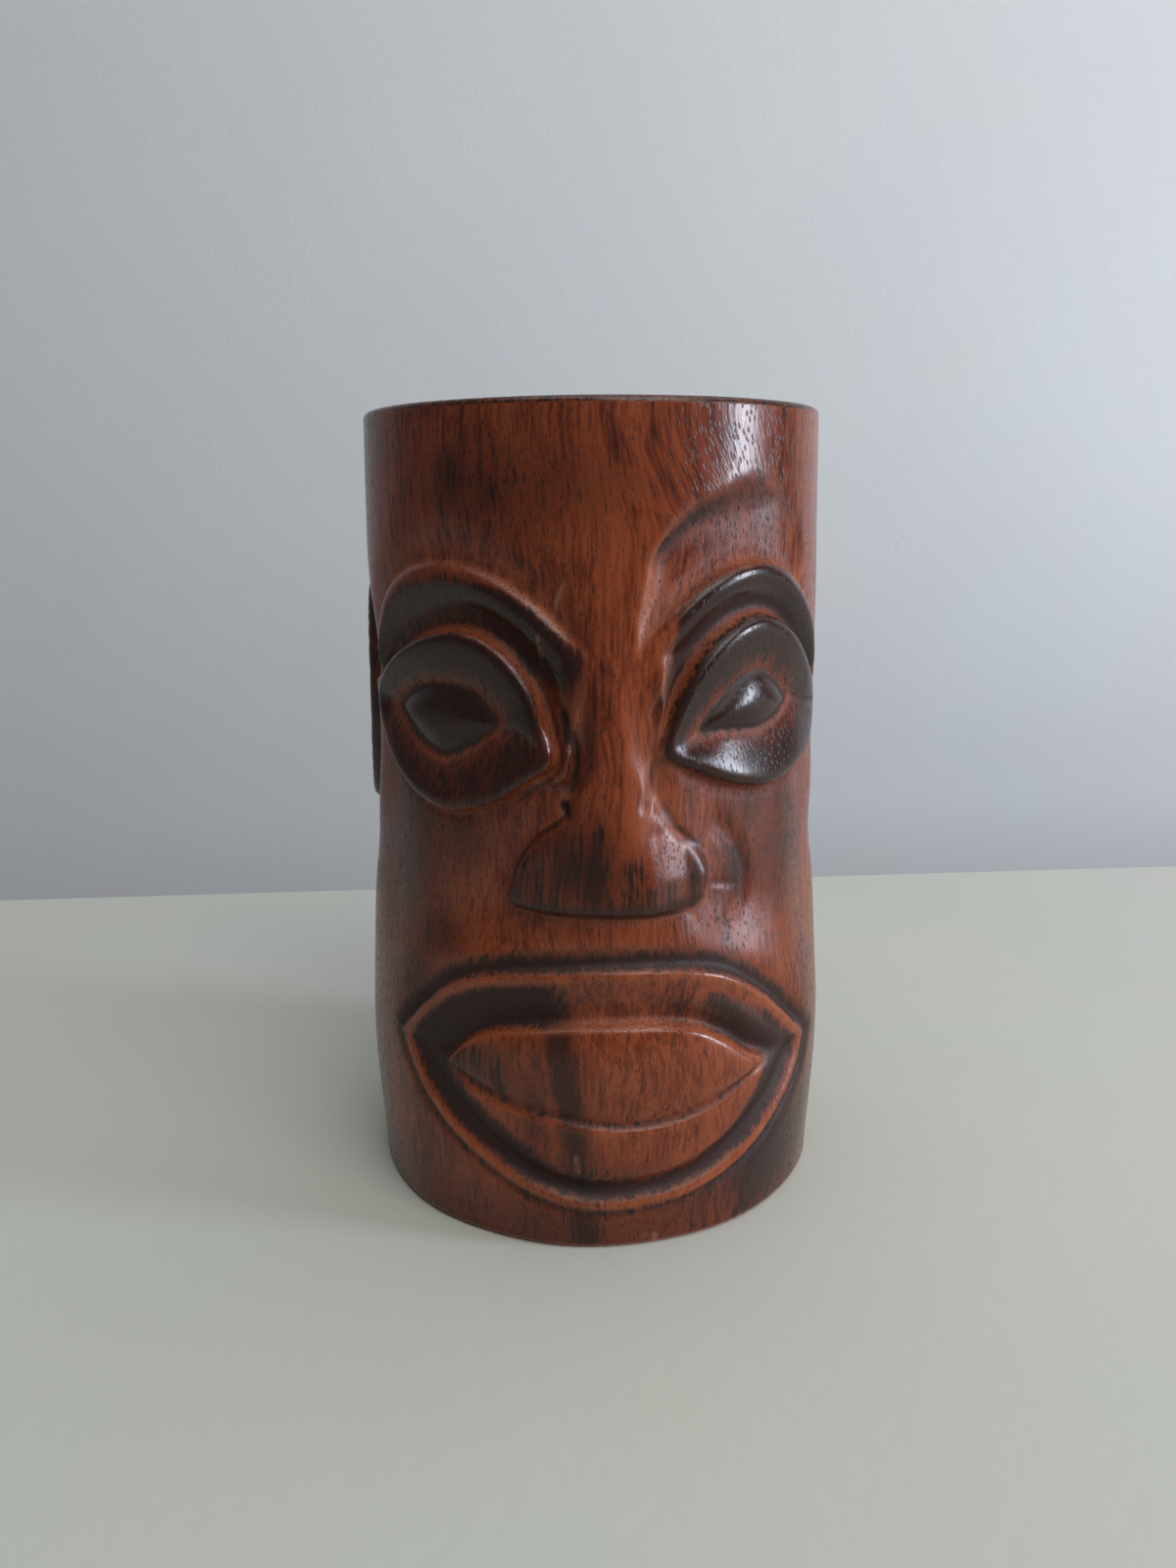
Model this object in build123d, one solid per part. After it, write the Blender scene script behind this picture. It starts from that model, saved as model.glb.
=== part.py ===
from build123d import *
from math import cos, radians, sin
import os

# A hand-carved wooden mug with a face in its front. The face looks along -Y, the foot stands on
# Z = 0 and the mug's axis is the Z axis. Millimetres and degrees.

# Turned blank: its height, the radius of its rim, and how far its side stands out beyond the rim
# at the foot, the belly, the waist and the brows
height = 165.0
rim_radius = 47.2
foot_swell = 2.5
belly_swell = 4.0
belly_height = 33.0
waist_swell = 1.9
waist_height = 80.0
brow_swell = 0.9
brow_height = 128.0
foot_chamfer = 1.2
rim_round = 0.9

# Bore and floor
wall = 9.2
floor_thickness = 13.0
floor_ledge = 3.5
glue_gap = 0.15
mouth_chamfer = 0.8

# Plain bands that the face leaves below its mouth and above its brows
foot_band = 8.6
forehead_band = 28.6

# How deep the carving goes: below the waist's radius for the eyes, nose and ears, and below the
# belly's radius for the mouth
brow_step = 1.6
socket_depth = 3.6
lid_depth = 1.3
eye_depth = 4.4
eyeball_depth = 1.8
cheek_depth = 2.2
ear_ground_depth = 2.4
ear_groove_depth = 1.6
cove_depth = 3.8
lip_depth = 1.5
tongue_depth = 2.4

# Widths of carved bands
brow_bevel = 3.0
socket_margin = 3.6
cove_width = 4.0
tongue_groove = 1.8
ear_border = 4.0
ear_rib = 2.2

# Angles from the middle of the face, positive on the viewer's right
left_eye = -41.0
right_eye = 43.0
cheek_side = 45.0
left_ear = -93.0
right_ear = 93.0

# Ovals of the eyes and ears: half their width as an angle, their middle and half their height as
# shares of the face's height, and their tilt
lid_half_angle = 27.0
lid_half_share = 0.135
left_eye_share = 0.762
right_eye_share = 0.784
eye_tilt = 4.0
eyeball_radius = 20.5
ear_half_angle = 9.5
ear_half_share = 0.19
ear_share = 0.77

foot_radius = rim_radius + foot_swell
belly_radius = rim_radius + belly_swell
waist_radius = rim_radius + waist_swell
brow_radius = rim_radius + brow_swell
bore_radius = rim_radius - wall
rebate_radius = bore_radius + floor_ledge
disc_radius = rebate_radius - glue_gap
face_height = height - foot_band - forehead_band
reach = 2 * belly_radius
overrun = 5.0


def level(share):
    """Height of a point of the face, from the bottom of the mouth at 0 to the top of the brows at 1."""
    return foot_band + share * face_height


def blank():
    """The log as it leaves the lathe, before any carving or boring."""
    side = Spline(
        (foot_radius, 0),
        (belly_radius, belly_height),
        (waist_radius, waist_height),
        (brow_radius, brow_height),
        (rim_radius, height),
    )
    section = side + Polyline(side @ 1, (0, height), (0, 0), side @ 0)
    log = revolve(make_face(Plane.XZ * section), Axis.Z)
    log = chamfer(log.edges().group_by(Axis.Z)[0], foot_chamfer)
    return fillet(log.edges().group_by(Axis.Z)[-1], rim_round)


def facing(angle):
    """Upright plane through the axis, its normal pointing out of the mug at this angle."""
    turn = radians(angle)
    return Plane(origin=(0, 0, 0), x_dir=(cos(turn), sin(turn), 0), z_dir=(sin(turn), -cos(turn), 0))


def spot(angle, share, view):
    """A point of the face as seen square on from view, in that plane's own two directions."""
    return (belly_radius * sin(radians(angle - view)), level(share))


def spots(points, view):
    return [spot(angle, share, view) for angle, share in points]


def carved(outline, view, floor_radius):
    """What is cut away inside an outline, down to an even distance from the mug's axis."""
    prism = extrude(facing(view) * outline, reach)
    core = Pos(0, 0, height / 2) * Cylinder(floor_radius, 2 * height)
    return prism - core


def oval(share, half_angle, half_share, tilt, margin=0.0):
    """An ellipse in the middle of its view, grown by margin all round."""
    across = belly_radius * sin(radians(half_angle)) + margin
    up = half_share * face_height + margin
    return Pos(0, level(share)) * Rot(0, 0, tilt) * Ellipse(across, up)


def lens(left, top, right, bottom, view):
    """A closed shape of two arcs that meet in points at left and right."""
    start, above, end, below = spots([left, top, right, bottom], view)
    return make_face([ThreePointArc(start, above, end), ThreePointArc(end, below, start)])


def brow_cut(line, view):
    """The step along the top of a brow: a band between the brow's upper line and the forehead."""
    lower = spots(line, view)
    upper = [(x, y + brow_bevel) for x, y in lower]
    ends = [Line(lower[-1], upper[-1]), Line(upper[0], lower[0])]
    band = make_face([Spline(*lower), Spline(*upper)] + ends)
    return carved(band, view, waist_radius - brow_step)


def eye_cuts(view, share, tilt, opening):
    """Cuts of one eye: the socket round the lids, the lids themselves and the hollow round the ball."""
    lids = oval(share, lid_half_angle, lid_half_share, tilt)
    socket = oval(share, lid_half_angle, lid_half_share, tilt, socket_margin)
    opened = lens(*opening, view)
    middle = (opening[1][1] + opening[3][1]) / 2
    ball_place = Pos(0, level(middle), waist_radius - eyeball_depth - eyeball_radius)
    ball = facing(view) * ball_place * Sphere(eyeball_radius)
    return [
        carved(socket - lids, view, waist_radius - socket_depth),
        carved(lids - opened, view, waist_radius - lid_depth),
        carved(opened, view, waist_radius - eye_depth) - ball,
    ]


def cheek_cut(side):
    """The hollow of one cheek, between the eye and the mouth, up to the wing of the nose."""
    view = side * cheek_side
    border = [
        (0, 0.44),
        (30, 0.43),
        (58, 0.36),
        (76, 0.42),
        (76, 0.58),
        (58, 0.575),
        (30, 0.56),
        (21, 0.59),
        (24.5, 0.53),
        (23, 0.49),
        (0, 0.475),
    ]
    outline = make_face(Polyline(*spots([(side * a, s) for a, s in border], view), close=True))
    return carved(outline, view, waist_radius - cheek_depth)


def mouth_cuts():
    """The cove inside the mouth's rim, the lips, the groove round the tongue and the tongue."""
    rim = lens((-57.5, 0.24), (-2, 0.398), (58.3, 0.22), (-2, 0.0), 0)
    lips = offset(rim, -cove_width)
    opening = lens((-41, 0.225), (-3, 0.314), (40, 0.21), (4, 0.146), 0)
    tongue = offset(opening, -tongue_groove)
    return [
        carved(rim - lips, 0, belly_radius - cove_depth),
        carved(lips - opening, 0, belly_radius - lip_depth),
        carved(opening - tongue, 0, belly_radius - cove_depth),
        carved(tongue, 0, belly_radius - tongue_depth),
    ]


def ear_cuts(angle):
    """The ground cut back round one ear, and the groove down its middle."""
    ground, ear, groove = [
        oval(ear_share, ear_half_angle, ear_half_share, 0, grown)
        for grown in (ear_border, 0, -ear_rib)
    ]
    return [
        carved(ground - ear, angle, waist_radius - ear_ground_depth),
        carved(groove, angle, waist_radius - ear_groove_depth),
    ]


def hollow():
    """Everything bored out of the log: the rebate for the floor, the bore and its eased mouth."""
    section = make_face(
        Polyline(
            (0, -overrun),
            (rebate_radius, -overrun),
            (rebate_radius, floor_thickness),
            (bore_radius, floor_thickness),
            (bore_radius, height - mouth_chamfer),
            (bore_radius + mouth_chamfer + overrun, height + overrun),
            (0, height + overrun),
            close=True,
        )
    )
    return revolve(Plane.XZ * section, Axis.Z)


def mug_body():
    """The log with its face, ears and hollow."""
    left_brow = [(-5, 0.873), (-16, 0.938), (-30, 0.985), (-44, 1.0), (-58, 0.965), (-69, 0.89)]
    right_brow = [(6, 0.878), (17, 0.945), (29, 0.987), (41, 0.998), (57, 0.95), (72, 0.885)]
    left_opening = [(-59, 0.772), (-41, 0.824), (-25, 0.758), (-40, 0.708)]
    right_opening = [(20, 0.745), (41, 0.84), (64, 0.774), (41, 0.735)]
    cuts = [brow_cut(left_brow, left_eye), brow_cut(right_brow, right_eye)]
    cuts += eye_cuts(left_eye, left_eye_share, -eye_tilt, left_opening)
    cuts += eye_cuts(right_eye, right_eye_share, eye_tilt, right_opening)
    cuts += [cheek_cut(-1), cheek_cut(1)]
    cuts += mouth_cuts()
    cuts += ear_cuts(left_ear)
    cuts += ear_cuts(right_ear)
    body = blank()
    for cut in cuts:
        body -= cut
    return body - hollow()


def base_disc():
    """The floor, glued up into the rebate and flush with the foot."""
    return Cylinder(disc_radius, floor_thickness, align=(Align.CENTER, Align.CENTER, Align.MIN))


os.makedirs("parts", exist_ok=True)
pieces = {"mug_body": mug_body(), "base_disc": base_disc()}
for name, piece in pieces.items():
    export_step(piece, f"parts/{name}.step")
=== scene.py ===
import math
import bpy
import numpy as np
from mathutils import Matrix, Vector


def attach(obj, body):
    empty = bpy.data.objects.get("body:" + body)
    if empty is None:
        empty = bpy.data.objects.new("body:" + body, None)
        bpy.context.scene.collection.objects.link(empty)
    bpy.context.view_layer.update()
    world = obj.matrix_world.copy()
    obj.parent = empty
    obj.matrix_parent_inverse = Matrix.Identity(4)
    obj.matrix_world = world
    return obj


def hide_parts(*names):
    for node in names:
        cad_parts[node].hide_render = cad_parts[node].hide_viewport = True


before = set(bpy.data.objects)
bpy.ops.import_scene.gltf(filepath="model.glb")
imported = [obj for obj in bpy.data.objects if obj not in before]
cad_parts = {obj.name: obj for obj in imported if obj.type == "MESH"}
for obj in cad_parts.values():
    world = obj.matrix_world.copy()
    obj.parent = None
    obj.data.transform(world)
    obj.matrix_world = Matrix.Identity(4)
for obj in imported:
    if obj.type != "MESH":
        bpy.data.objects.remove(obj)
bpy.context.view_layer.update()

mm = 0.001

# Angles go round the mug in degrees, 0 at the middle of the face and positive to the viewer's right.
# Heights and depths are in millimetres, depths measured from the turned side of the log. A point of an
# outline is (angle, height), and "left" and "right" are the viewer's.

log = {
    "side": [(0, 49.7), (33, 51.2), (80, 49.1), (128, 48.1), (165, 47.2)],   # height, radius
    "height": 165.0, "rimRound": 1.3, "footChamfer": 1.2,
    "boreRadius": 38.0, "mouthRound": 1.4, "floor": 13.0, "ledge": 3.5,
    "facetDepth": 0.16,          # how much the scraper left the side uneven
    "unroll": 49.0,              # radius that turns degrees into millimetres along the side
    "columns": 332, "outerRows": 262,
    # the grid is finest over the face: places, and how wide its cells are there
    "columnGaps": ([0, 74, 80, 110, 122, 180], [0.63, 0.63, 1.05, 1.05, 3.6, 3.6]),
    "rowGaps": ([0, 5, 9, 138, 150, 163.7], [1.0, 0.9, 0.53, 0.53, 1.7, 1.0]),
}


def colour(code):
    # sRGB hex to linear: c/12.92 below 0.04045, else ((c + 0.055)/1.055)^2.4
    parts = [int(code[i:i + 2], 16) / 255 for i in (1, 3, 5)]
    return tuple(c / 12.92 if c <= 0.04045 else ((c + 0.055) / 1.055) ** 2.4 for c in parts) + (1.0,)


def step(x, low=0.0, high=1.0):
    # smooth step: 3t^2 - 2t^3 with t running from 0 at low to 1 at high
    t = np.clip((x - low) / (high - low), 0, 1)
    return t * t * (3 - 2 * t)


def mix(a, b, t):
    # straight line from a to b: a + (b - a)t
    return a + (b - a) * t


def bell(x, width, power=2):
    # e to the -(x/width)^power: 1 where x is 0, nearly nothing at twice the width
    return np.exp(-(x / width) ** power)


def smoothLine(points, closed=False, pieces=9):
    # Catmull-Rom: between p1 and p2, half of 2p1 + (p2-p0)t + (2p0-5p1+4p2-p3)t^2 + (3p1-p0-3p2+p3)t^3
    p = np.array(points, float)
    if closed:
        p = np.vstack([p[-1:], p, p[:2]])
    else:
        p = np.vstack([2 * p[:1] - p[1:2], p, 2 * p[-1:] - p[-2:-1]])
    t = np.linspace(0, 1, pieces, endpoint=False)[None, :, None]
    a, b, c, d = (p[i:len(p) - 3 + i, None] for i in range(4))
    line = 0.5 * (2 * b + (c - a) * t + (2 * a - 5 * b + 4 * c - d) * t ** 2
                  + (3 * b - a - 3 * c + d) * t ** 3)
    line = line.reshape(-1, p.shape[1])
    return line if closed else np.vstack([line, p[-2:-1]])


def spread(low, high, count, places, gaps):
    # places whose spacing follows the gaps: equal steps of the integral of 1/gap
    fine = np.linspace(low, high, 40001)
    gap = np.interp(np.abs(fine[1:] + fine[:-1]) / 2, places, gaps)
    run = np.concatenate([[0], np.cumsum(1 / gap)])
    return np.interp(np.linspace(0, run[-1], count), run, fine)


def sideRadius(z):
    # radius of the turned side at a height, on a smooth line through the log's five sizes
    line = smoothLine(log["side"], pieces=40)
    return np.interp(z, line[:, 0], line[:, 1])


# The carving is worked out on the side unrolled flat: across = angle * unroll, up = height
perDegree = math.radians(1) * log["unroll"]
angleRow = spread(-180, 180, log["columns"] + 1, *log["columnGaps"])[:-1]
heightRow = spread(log["footChamfer"], log["height"] - log["rimRound"], log["outerRows"], *log["rowGaps"])
angle, height = np.meshgrid(angleRow, heightRow)
across = angle * perDegree
side = np.abs(angle)


def flat(points):
    # (angle, height) to millimetres on the unrolled side: (angle * perDegree, height)
    return np.array(points, float) * [perDegree, 1.0]


def outlineOf(parts):
    # a closed outline of smooth stretches that meet in corners
    return np.vstack([smoothLine(flat(part))[:-1] for part in parts])


def reachTo(outline, closed=True, margin=16.0):
    # distance from every point of the grid to the nearest stretch of the outline; on a closed one it is
    # positive inside, where a level line to the right crosses the outline an odd number of times
    start = outline if closed else outline[:-1]
    end = np.roll(outline, -1, axis=0) if closed else outline[1:]
    low, high = outline.min(0) - margin, outline.max(0) + margin
    near = (across > low[0]) & (across < high[0]) & (height > low[1]) & (height < high[1])
    px, py = across[near][:, None], height[near][:, None]
    dx, dy = (end - start).T
    t = np.clip(((px - start[:, 0]) * dx + (py - start[:, 1]) * dy) / (dx * dx + dy * dy), 0, 1)
    away = np.hypot(px - start[:, 0] - t * dx, py - start[:, 1] - t * dy).min(1)
    result = np.full(across.shape, -margin if closed else margin)
    if closed:
        spans = (start[:, 1] > py) != (end[:, 1] > py)
        crossing = start[:, 0] + (py - start[:, 1]) * dx / np.where(dy == 0, 1e-9, dy)
        inside = ((spans & (px < crossing)).sum(1) % 2) == 1
        away = np.where(inside, away, -away)
    result[near] = away
    return result


def lineAwayFrom(points):
    # distance from every point of the grid to the smooth line through the points
    return reachTo(smoothLine(flat(points)), closed=False)


def patch(middle, up, wide, tall):
    # a soft spot: a bell of the distance to its middle, wide and tall in millimetres
    return np.exp(-(((angle - middle) * perDegree / wide) ** 2 + ((height - up) / tall) ** 2))


def unevenness(seed, waves, longest, shortest):
    # sum of waves running round and up the mug with whole numbers of turns, so the back has no seam
    dice = np.random.default_rng(seed)
    total = np.zeros_like(across)
    for _ in range(waves):
        turns = dice.integers(1, int(2 * math.pi * log["unroll"] / shortest))
        length = dice.uniform(longest, longest * 4)
        phase = dice.uniform(0, 2 * math.pi, 2)
        total += np.sin(np.radians(angle) * turns + phase[0]) * np.sin(height * 2 * math.pi / length + phase[1])
    return total / math.sqrt(waves)


def softened(field, passes):
    # each pass mixes a quarter, a half and a quarter of neighbours, round the mug and then up it
    for _ in range(passes):
        field = 0.5 * field + 0.25 * (np.roll(field, 1, axis=1) + np.roll(field, -1, axis=1))
        padded = np.pad(field, [(1, 1), (0, 0)], mode="edge")
        field = 0.5 * field + 0.25 * (padded[:-2] + padded[2:])
    return field


print("relief: cheeks and waist")
cheeks = {
    "depth": 2.3,                                  # of the hollow between eye and mouth
    "lowMiddle": 58.0, "lowFall": 0.0020,          # its lower edge: lowMiddle - lowFall * angle^2
    "top": (96, 122), "ends": (62, 84),            # where it dies out, up and round
    "flatMiddle": 33.0, "flatDepth": 4.2, "blend": 0.35,
    "crease": [(28.2, 85.8), (33.7, 81.5), (36.8, 76), (36.4, 70.3), (33, 66.5)],
    "creaseDepth": 0.7, "creaseWidth": 2.2,
}
waist = {"depth": 1.0, "height": 76.0, "reach": 9.0}    # a shallow dip all round, below the ears

lowEdge = cheeks["lowMiddle"] - cheeks["lowFall"] * angle ** 2
hollow = step(height, lowEdge - 9, lowEdge + 16) * (1 - step(height, *cheeks["top"]))
hollow = hollow * (1 - step(side, *cheeks["ends"]))
# each cheek is a flat: (R - flatDepth) / cos(angle from the flat's middle) - R, no shallower than the hollow
fromFlat = np.radians(np.clip(side - cheeks["flatMiddle"], -60, 60))
flatCut = (sideRadius(height) - cheeks["flatDepth"]) / np.cos(fromFlat) - sideRadius(height)
deeper = np.log1p(np.exp(-(flatCut + cheeks["depth"]) / cheeks["blend"]))
depth = (-cheeks["depth"] - cheeks["blend"] * deeper) * hollow        # below zero is cut away
depth -= waist["depth"] * bell(height - waist["height"], waist["reach"]) * step(side, 60, 84) * (
    1 - step(side, 120, 150))
depth -= cheeks["creaseDepth"] * bell(lineAwayFrom(cheeks["crease"]), cheeks["creaseWidth"])
burnAndShade = np.zeros_like(across)         # scorched shading, with painted shade added under a few creases and edges
wornAndHighlight = np.zeros_like(across)         # rubbed edges and clean bevels, and painted highlights on the forehead scoop

print("relief: forehead")
forehead = {
    # the scoop over the right brow: its left wall, its top, and its foot inside the brow
    "scoop": [[(5.3, 121), (5.8, 126), (7.3, 132.1), (9.4, 138), (14.2, 142.6), (18.9, 145.6), (26, 147.6)],
              [(26, 147.6), (36, 150), (48, 147), (60, 134)],
              [(60, 134), (50, 128), (39.5, 129), (31, 128), (20, 122), (12, 118), (5.3, 121)]],
    "scoopDepth": 1.6, "slopeRun": 3.8, "stepRun": 1.2, "floorTilt": 0.10, "fadesOut": (26, 60),
    "leftDip": 1.5, "rightDip": 0.3, "dipReach": 6.5,       # the dip down to each brow's line
}
scoop = reachTo(outlineOf(forehead["scoop"]))
scoopEnd = 1 - step(angle, *forehead["fadesOut"])
run = mix(forehead["slopeRun"], forehead["stepRun"], step(height, 132, 141))
narrowing = mix(0.3, 1.0, step(height, 120, 134))
t = np.clip(scoop / (run * narrowing), 0, 1)
depth -= forehead["scoopDepth"] * (1.12 * t - 0.12 * t ** 9) * narrowing * scoopEnd
wallAway = lineAwayFrom(forehead["scoop"][0] + forehead["scoop"][1][1:3])
depth -= forehead["floorTilt"] * np.where(scoop > 0, wallAway, 0) * scoopEnd
# a paler line along the foot of the scoop's left edge: rubbed wood with a painted highlight
wornAndHighlight = np.maximum(wornAndHighlight, 0.55 * bell(scoop, 0.5) * (1 - step(angle, 12, 24)) * step(height, 122, 130))
# the left wall is scraped clean and painted paler, partly as a painted highlight, and narrows to a point
# between the brows
scrapedAndLit = step(scoop, 0.1, 0.7) * (1 - step(t, 0.8, 1.0)) * (1 - step(height, 133, 139))
wornAndHighlight = np.maximum(wornAndHighlight, 0.75 * scrapedAndLit * step(height, 121, 124))
# painted shade: the scorch below the scoop's crease is deepened where the crease faces down
creased = step(height, 134, 139) * (1 - step(angle, 22, 42))
burnAndShade = np.maximum(burnAndShade, 0.92 * bell(scoop - 1.5, 1.5) * creased)
# painted highlight: a pale line along the crease's arris, where it catches the light
arris = step(height, 132, 136) * (1 - step(angle, 16, 22))
wornAndHighlight = np.maximum(wornAndHighlight, 0.9 * bell(scoop + 0.1, 0.4) * arris)

print("relief: nose")
nose = {
    "outline": [[(-23.6, 71.2), (-24.6, 73.6), (-23, 78.6), (-20.6, 82.2), (-17.2, 85.6)],
                [(-17.2, 85.6), (-10.4, 89.6)],
                [(-10.4, 89.6), (-8.8, 94), (-7.6, 101), (-6.4, 112), (-5.2, 122), (0, 127),
                 (5.2, 122), (7.2, 112), (8.8, 101), (9.6, 94.5), (11, 90.6)],
                [(11, 90.6), (16.8, 86.2), (22, 82.2), (24.7, 77.8), (24, 73.6), (20.6, 70.6),
                 (12, 69.8), (-1, 69.9), (-14, 70.4), (-23.6, 71.2)]],
    "wall": 0.8, "bridgeWall": 5.5, "edgeRound": 1.2, "edgeRun": 2.6, "proud": 0.9,
    "rightSlope": 0.31, "upSlope": 0.16, "leftDrop": 1.6, "bridgeDrop": 0.9,
}
noseReach = reachTo(outlineOf(nose["outline"]))
noseWall = mix(nose["wall"], nose["bridgeWall"], step(height, 90, 104))
wing = 1 - step(height, 86, 97)
rounding = (1 - np.clip(noseReach / nose["edgeRun"], 0, 1)) ** 2
noseTop = nose["proud"] * wing - nose["edgeRound"] * wing * rounding
# the right wing is a flat turned to the side and a little upwards
noseTop -= wing * nose["rightSlope"] * np.clip((angle - 8.5) * perDegree, 0, 8.0)
noseTop -= wing * nose["upSlope"] * np.clip(height - 77, 0, 9) * step(angle, 4, 10)
noseTop -= wing * nose["leftDrop"] * np.clip((-angle - 8) / 16, 0, 1) ** 1.5
# the bridge rolls off to the right
noseTop -= nose["bridgeDrop"] * (1 - wing) * step(angle, 1.0, 8.0)
depth = mix(depth, noseTop, step(noseReach, -0.3 * noseWall, noseWall))

print("relief: eyes")
eyes = {
    "left": {
        "brow": [(-5.5, 120), (-11.5, 125), (-17, 129), (-26, 133.6), (-35, 136), (-44, 136.4),
                 (-54, 134.6), (-63.5, 130), (-69.5, 122), (-71.5, 111)],
        "browBack": [(-62, 101), (-40, 93), (-20, 95), (-11, 96), (-9, 100), (-7.5, 106), (-6.3, 113)],
        "lid": [(-13.2, 99.5), (-15, 107), (-19, 115), (-27, 121.5), (-37, 123.9), (-50, 121.9),
                (-64, 116.4), (-72.5, 109), (-67, 100), (-55, 92.4), (-41, 88.7), (-28, 91.2),
                (-19.5, 95.6)],
        "opening": [[(-66, 107.2), (-55, 112.3), (-43.5, 114), (-33.5, 112.9), (-26.3, 108.3)],
                    [(-26.3, 108.3), (-26, 105.2)],
                    [(-26, 105.2), (-34.5, 101), (-43.5, 98.5), (-52, 100.4), (-60.5, 104.6), (-66, 107.2)]],
        "duct": [(-26.2, 104.6), (-21.5, 105.4), (-17.5, 102.8)],
        "bevel": 1.15, "browRise": 0.5, "lidEdge": 0.9,
        "browFade": 0.42, "valleyBurn": 0.60, "valleyFrom": 0.5, "burnFrom": 0.3, "burnFoot": (110, 117),
        "lidBurnFrom": 0.1, "lowerLidBurn": 0.78, "ballBurn": 1.0, "lineWorn": 1.0, "lineWornAside": 0.25,
    },
    "right": {
        "brow": [(5.5, 120.6), (10.4, 124.9), (17, 129.8), (23, 133.2), (31, 135.7), (39.5, 136.3),
                 (48, 134.6), (58, 129.8), (70, 122), (77, 110)],
        "browBack": [(66, 100), (44, 96), (24, 98), (13, 101), (11, 105), (10.2, 111), (8.6, 116.5)],
        "lid": [(11.8, 101), (14, 108.4), (20, 117), (29.5, 123.6), (41, 125.7), (53, 122.4),
                (64, 116), (74, 109.6), (75.3, 103.4), (69, 97.6), (57, 94.4), (44, 92.2),
                (31, 93.7), (19.5, 97.4)],
        "opening": [[(19.6, 103.4), (24.5, 109), (32, 113.8), (40, 116), (48, 113.8), (57.5, 108)],
                    [(57.5, 108), (50, 104.6), (40, 102.8), (29, 103.4), (19.6, 103.4)]],
        "duct": [(57.5, 108), (64, 107), (71, 106.2)],
        "bevel": 1.1, "browRise": 1.2, "lidEdge": 1.4,
        "browFade": 0.16, "valleyBurn": 0.8, "valleyFrom": 0.66, "burnFrom": 0.6, "burnFoot": (98, 104),
        "lidBurnFrom": -0.5, "lowerLidBurn": 0.90, "ballBurn": 0.95, "lineWorn": 0.3, "lineWornAside": 0.3,
        # height and angle of the slanting cut beside the nose where its shading starts
        "burnEdge": [(104, 9), (108.6, 9.9), (112, 11.1), (115, 11.8), (118, 13), (124, 14.5)],
    },
    "browCrest": 0.24, "valley": 3.6, "valleyRise": 0.4, "wall": 1.0,
    "lidCrestAt": 0.2, "lidCrest": 0.3, "crestRun": 1.5, "crestBend": 0.22, "lidFall": 2.7,
    "openingStep": 1.2, "ballDome": 2.3, "ballRun": 6.5, "ductDepth": 0.7, "ductWidth": 0.6,
}
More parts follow.
